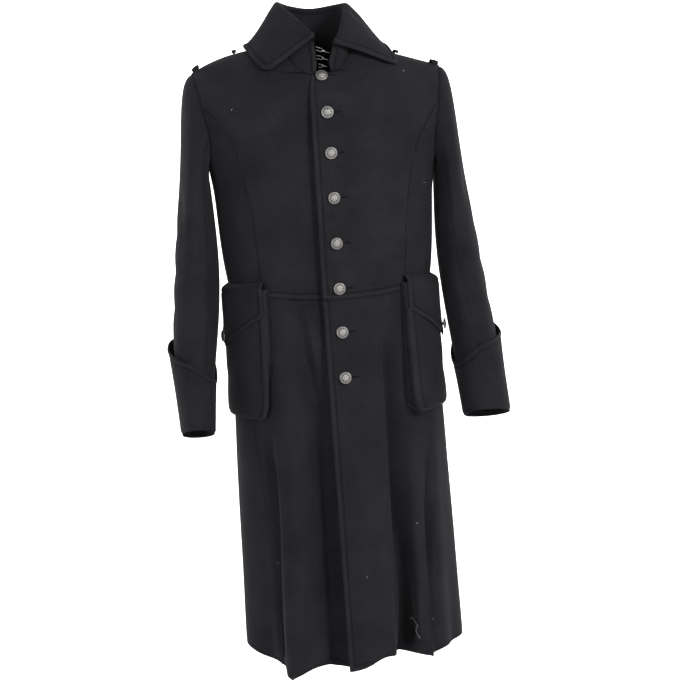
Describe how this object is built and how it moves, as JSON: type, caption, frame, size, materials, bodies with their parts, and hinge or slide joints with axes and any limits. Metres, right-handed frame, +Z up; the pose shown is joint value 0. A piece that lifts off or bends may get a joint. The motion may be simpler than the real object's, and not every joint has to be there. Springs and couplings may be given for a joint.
{
  "type": "overcoat",
  "caption": "Long single-breasted military-style overcoat in heavy wool, with a wide pointed collar, bellows pockets under flaps, turned-up cuffs and a full skirt.",
  "frame": {"origin": "level with the neck points of the shoulder seams, on the middle line of the coat, midway between front and back: where a neck form or hanger holds it", "axes": "+Z up, -Y the way the front faces, +X to the wearer's left"},
  "size_m": [0.6393, 0.378, 1.2399],
  "materials": {
    "wool": "matte, dense and slightly hairy, near-black heavy melton wool",
    "pewter": "cast, antiqued, dark in its hollows and rubbed bright on its high parts",
    "steel_wire": "bright drawn wire"
  },
  "bodies": {
    "root": {"front_right": "wool", "side_right": "wool", "back_right": "wool", "front_left": "wool", "side_left": "wool", "back_left": "wool", "loop_outer_right": "wool", "loop_outer_left": "wool", "loop_inner_right": "wool", "loop_inner_left": "wool", "skirt_front_right": "wool", "skirt_back_right": "wool", "skirt_front_left": "wool", "skirt_back_left": "wool", "sleeve_top_right": "wool", "sleeve_under_right": "wool", "cuff_right": "wool", "sleeve_top_left": "wool", "sleeve_under_left": "wool", "cuff_left": "wool", "collar_stand": "wool", "collar_fall": "wool", "pocket_right": "wool", "pocket_left": "wool", "flap_right": "wool", "flap_left": "wool", "button_1": "pewter", "button_2": "pewter", "button_3": "pewter", "button_4": "pewter", "button_5": "pewter", "button_6": "pewter", "button_7": "pewter", "button_8": "pewter", "flap_button_right": "pewter", "flap_button_left": "pewter", "eye_1": "steel_wire", "hook_1": "steel_wire", "eye_2": "steel_wire", "hook_2": "steel_wire", "eye_3": "steel_wire", "hook_3": "steel_wire"}
  },
  "joints": []
}
